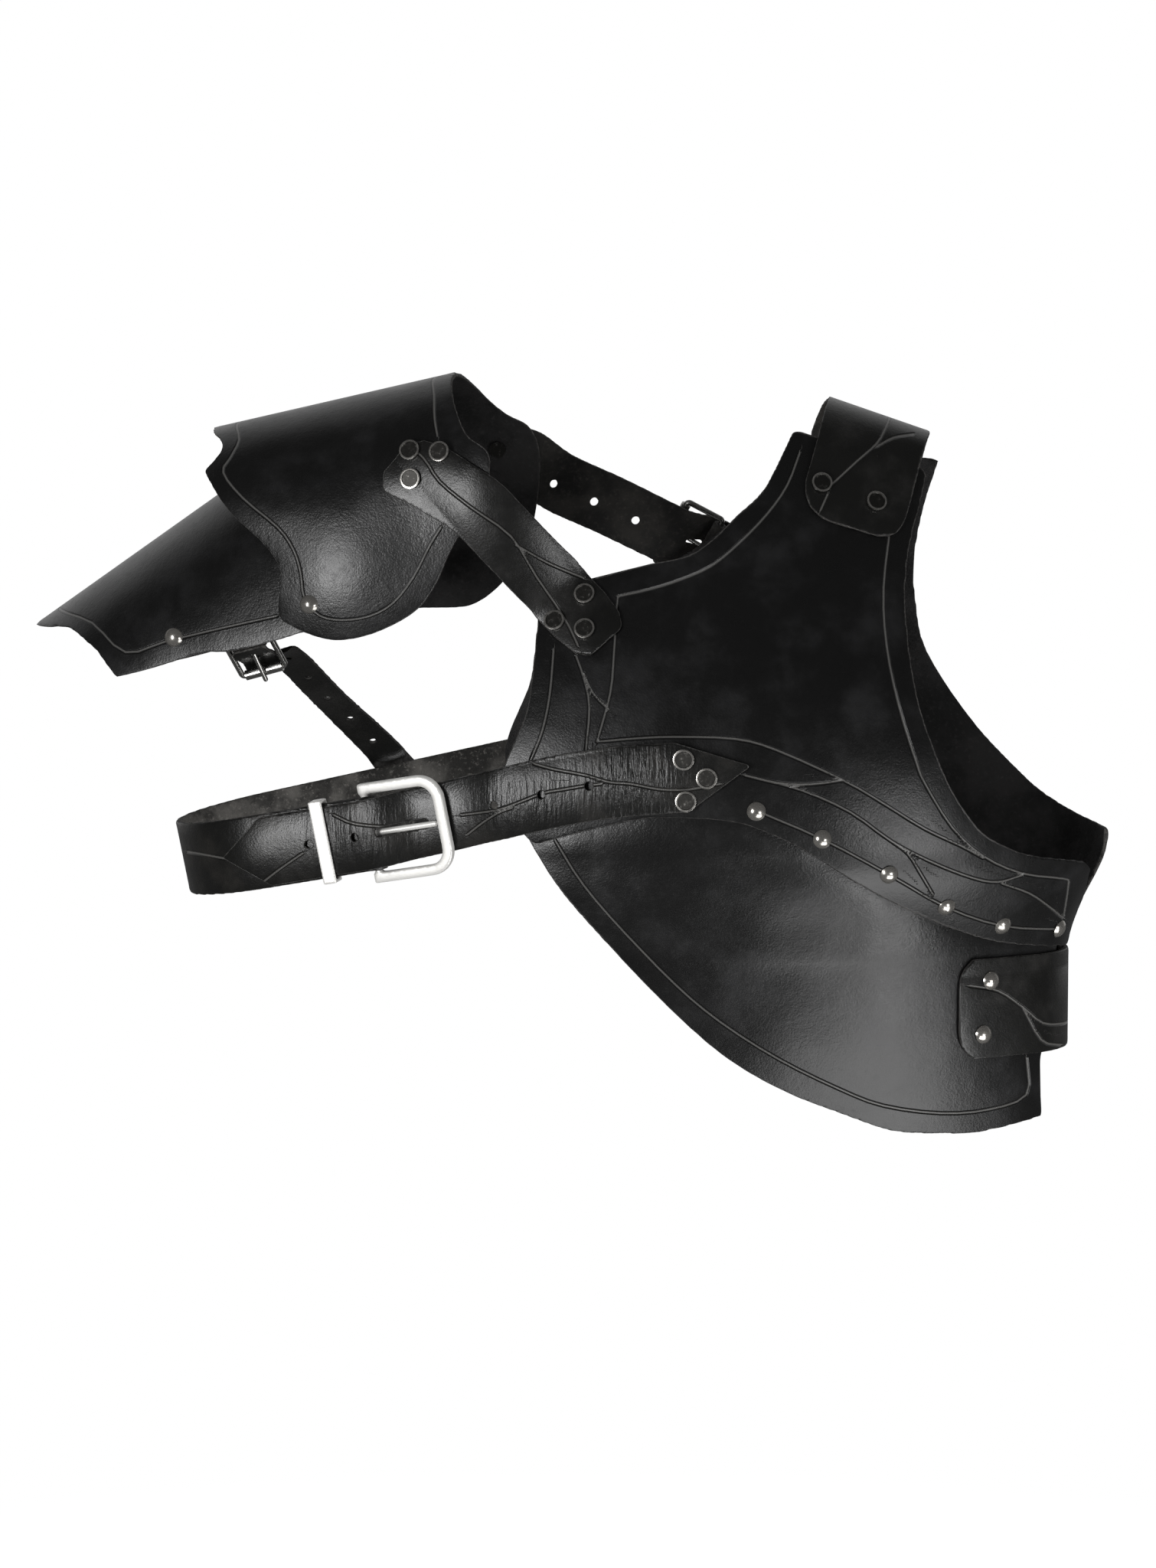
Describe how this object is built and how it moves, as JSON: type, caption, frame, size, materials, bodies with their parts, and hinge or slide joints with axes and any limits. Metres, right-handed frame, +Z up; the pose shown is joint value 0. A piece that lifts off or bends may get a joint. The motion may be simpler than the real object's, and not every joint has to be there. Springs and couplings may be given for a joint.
{
  "type": "leather cuirass with pauldron",
  "caption": "One-shoulder black leather cuirass with riveted plates, buckled shoulder, side and waist straps, and a strapped pauldron with one hanging lame.",
  "frame": {"origin": "the underside of the shoulder strap's crest, where it lies on the shoulder", "axes": "+X towards the wearer's left, +Y towards the wearer's back, +Z up"},
  "size_m": [0.5907, 0.229, 0.4099],
  "materials": {
    "plate_leather": "smooth black, soft sheen",
    "strap_leather": "smooth black, soft sheen",
    "antique_rivet": "antique nickel",
    "dome_rivet": "polished black nickel",
    "buckle_nickel": "satin nickel"
  },
  "bodies": {
    "cuirass": {"breast_plate": "plate_leather", "belly_plate": "plate_leather", "upper_back_plate": "plate_leather", "lower_back_plate": "plate_leather", "front_band_rivets": "dome_rivet", "back_band_rivets": "dome_rivet", "shoulder_strap": "strap_leather", "shoulder_strap_rivets": "antique_rivet", "shoulder_buckle_tab": "strap_leather", "shoulder_tab_rivets": "antique_rivet", "shoulder_strap_keeper": "strap_leather", "side_strap": "strap_leather", "side_strap_rivets": "dome_rivet", "side_buckle_tab": "strap_leather", "side_tab_rivets": "dome_rivet", "side_strap_keeper": "strap_leather", "belt_tongue": "strap_leather", "belt_tongue_rivets": "antique_rivet", "belt_buckle_strap": "strap_leather", "belt_buckle_strap_rivets": "antique_rivet", "front_pauldron_strap": "strap_leather", "front_strap_lower_rivets": "antique_rivet", "rear_pauldron_strap": "strap_leather", "neck_buckle_tab": "strap_leather", "neck_tab_rivets": "antique_rivet", "neck_strap_keeper": "strap_leather", "arm_strap_rivet": "dome_rivet"},
    "pauldron": {"pauldron_cap": "plate_leather", "lame_pivot_rivets": "dome_rivet", "front_strap_upper_rivets": "antique_rivet", "rear_strap_rivets": "antique_rivet"},
    "lame": {"pauldron_lame": "plate_leather", "arm_tab_rivet": "dome_rivet"},
    "arm_link": {"arm_strap": "strap_leather", "arm_buckle_tab": "strap_leather"},
    "belt_frame": {"belt_buckle_frame": "buckle_nickel"},
    "belt_prong": {"belt_buckle_prong": "buckle_nickel"},
    "belt_loop": {"belt_keeper": "buckle_nickel"},
    "shoulder_frame": {"shoulder_buckle_frame": "buckle_nickel"},
    "shoulder_prong": {"shoulder_buckle_prong": "buckle_nickel"},
    "shoulder_roller": {"shoulder_buckle_roller": "buckle_nickel"},
    "side_frame": {"side_buckle_frame": "buckle_nickel"},
    "side_prong": {"side_buckle_prong": "buckle_nickel"},
    "side_roller": {"side_buckle_roller": "buckle_nickel"},
    "neck_frame": {"neck_buckle_frame": "buckle_nickel"},
    "neck_prong": {"neck_buckle_prong": "buckle_nickel"},
    "neck_roller": {"neck_buckle_roller": "buckle_nickel"},
    "arm_frame": {"arm_buckle_frame": "buckle_nickel"},
    "arm_prong": {"arm_buckle_prong": "buckle_nickel"},
    "arm_roller": {"arm_buckle_roller": "buckle_nickel"}
  },
  "joints": [
    {"name": "pauldron_swing", "type": "hinge", "parent": "cuirass", "child": "pauldron", "pos_m": [-0.18, 0, -0.055], "axis": [0.2079, 0.9781, 0], "range_deg": [-3, 3], "deforming": ["front_pauldron_strap", "rear_pauldron_strap"]},
    {"name": "lame_swing", "type": "hinge", "parent": "pauldron", "child": "lame", "pos_m": [-0.29507, -0.00009, -0.09707], "axis": [0.2079, 0.9781, 0], "range_deg": [-8, 8]},
    {"name": "arm_strap_swing", "type": "hinge", "parent": "lame", "child": "arm_link", "pos_m": [-0.38194, -0.04164, -0.11621], "axis": [0.2079, 0.9781, 0], "range_deg": [-4.6, 4.6]},
    {"name": "belt_frame_tilt", "type": "hinge", "parent": "cuirass", "child": "belt_frame", "pos_m": [-0.27425, -0.07214, -0.21875], "axis": [0.1908, 0, -0.9816], "range_deg": [0, 8]},
    {"name": "belt_prong_tilt", "type": "hinge", "parent": "cuirass", "child": "belt_prong", "pos_m": [-0.27425, -0.07214, -0.21875], "axis": [0.1908, 0, -0.9816], "range_deg": [0, 8]},
    {"name": "belt_loop_slide", "type": "slide", "parent": "cuirass", "child": "belt_loop", "axis": [0.9508, -0.2487, 0.1848], "range_m": [-0.012, 0.002]},
    {"name": "shoulder_frame_tilt", "type": "hinge", "parent": "cuirass", "child": "shoulder_frame", "pos_m": [-0.01308, 0.07492, -0.09008], "axis": [-0.9754, 0.2204, 0], "range_deg": [0, 8]},
    {"name": "shoulder_prong_tilt", "type": "hinge", "parent": "shoulder_frame", "child": "shoulder_prong", "pos_m": [-0.01308, 0.07492, -0.09008], "axis": [-0.9754, 0.2204, 0], "range_deg": [0, 8]},
    {"name": "shoulder_roller_spin", "type": "hinge", "parent": "shoulder_frame", "child": "shoulder_roller", "pos_m": [-0.01432, 0.06946, -0.06843], "axis": [-0.9754, 0.2204, 0], "continuous": true},
    {"name": "side_frame_tilt", "type": "hinge", "parent": "cuirass", "child": "side_frame", "pos_m": [0.00234, 0.0785, -0.316], "axis": [0, 0, 1], "range_deg": [0, 8]},
    {"name": "side_prong_tilt", "type": "hinge", "parent": "side_frame", "child": "side_prong", "pos_m": [0.00234, 0.0785, -0.316], "axis": [0, 0, 1], "range_deg": [0, 8]},
    {"name": "side_roller_spin", "type": "hinge", "parent": "side_frame", "child": "side_roller", "pos_m": [0.02461, 0.07648, -0.316], "axis": [0, 0, 1], "continuous": true},
    {"name": "neck_frame_tilt", "type": "hinge", "parent": "cuirass", "child": "neck_frame", "pos_m": [-0.09213, 0.0751, -0.07558], "axis": [-0.4504, 0.3625, -0.8159], "range_deg": [0, 8]},
    {"name": "neck_prong_tilt", "type": "hinge", "parent": "neck_frame", "child": "neck_prong", "pos_m": [-0.09213, 0.0751, -0.07558], "axis": [-0.4504, 0.3625, -0.8159], "range_deg": [0, 8]},
    {"name": "neck_roller_spin", "type": "hinge", "parent": "neck_frame", "child": "neck_roller", "pos_m": [-0.11188, 0.07405, -0.06515], "axis": [-0.4504, 0.3625, -0.8159], "continuous": true},
    {"name": "arm_frame_tilt", "type": "hinge", "parent": "arm_link", "child": "arm_frame", "pos_m": [-0.34152, -0.04023, -0.11902], "axis": [-0.9421, 0.2003, -0.2689], "range_deg": [0, 8]},
    {"name": "arm_prong_tilt", "type": "hinge", "parent": "arm_frame", "child": "arm_prong", "pos_m": [-0.34152, -0.04023, -0.11902], "axis": [-0.9421, 0.2003, -0.2689], "range_deg": [0, 8]},
    {"name": "arm_roller_spin", "type": "hinge", "parent": "arm_frame", "child": "arm_roller", "pos_m": [-0.33403, -0.02692, -0.13535], "axis": [-0.9421, 0.2003, -0.2689], "continuous": true}
  ],
  "couplings": [
    {"joint": "lame_swing", "follows": "pauldron_swing", "ratio": -2.613},
    {"joint": "arm_strap_swing", "follows": "pauldron_swing", "ratio": 1.501}
  ]
}
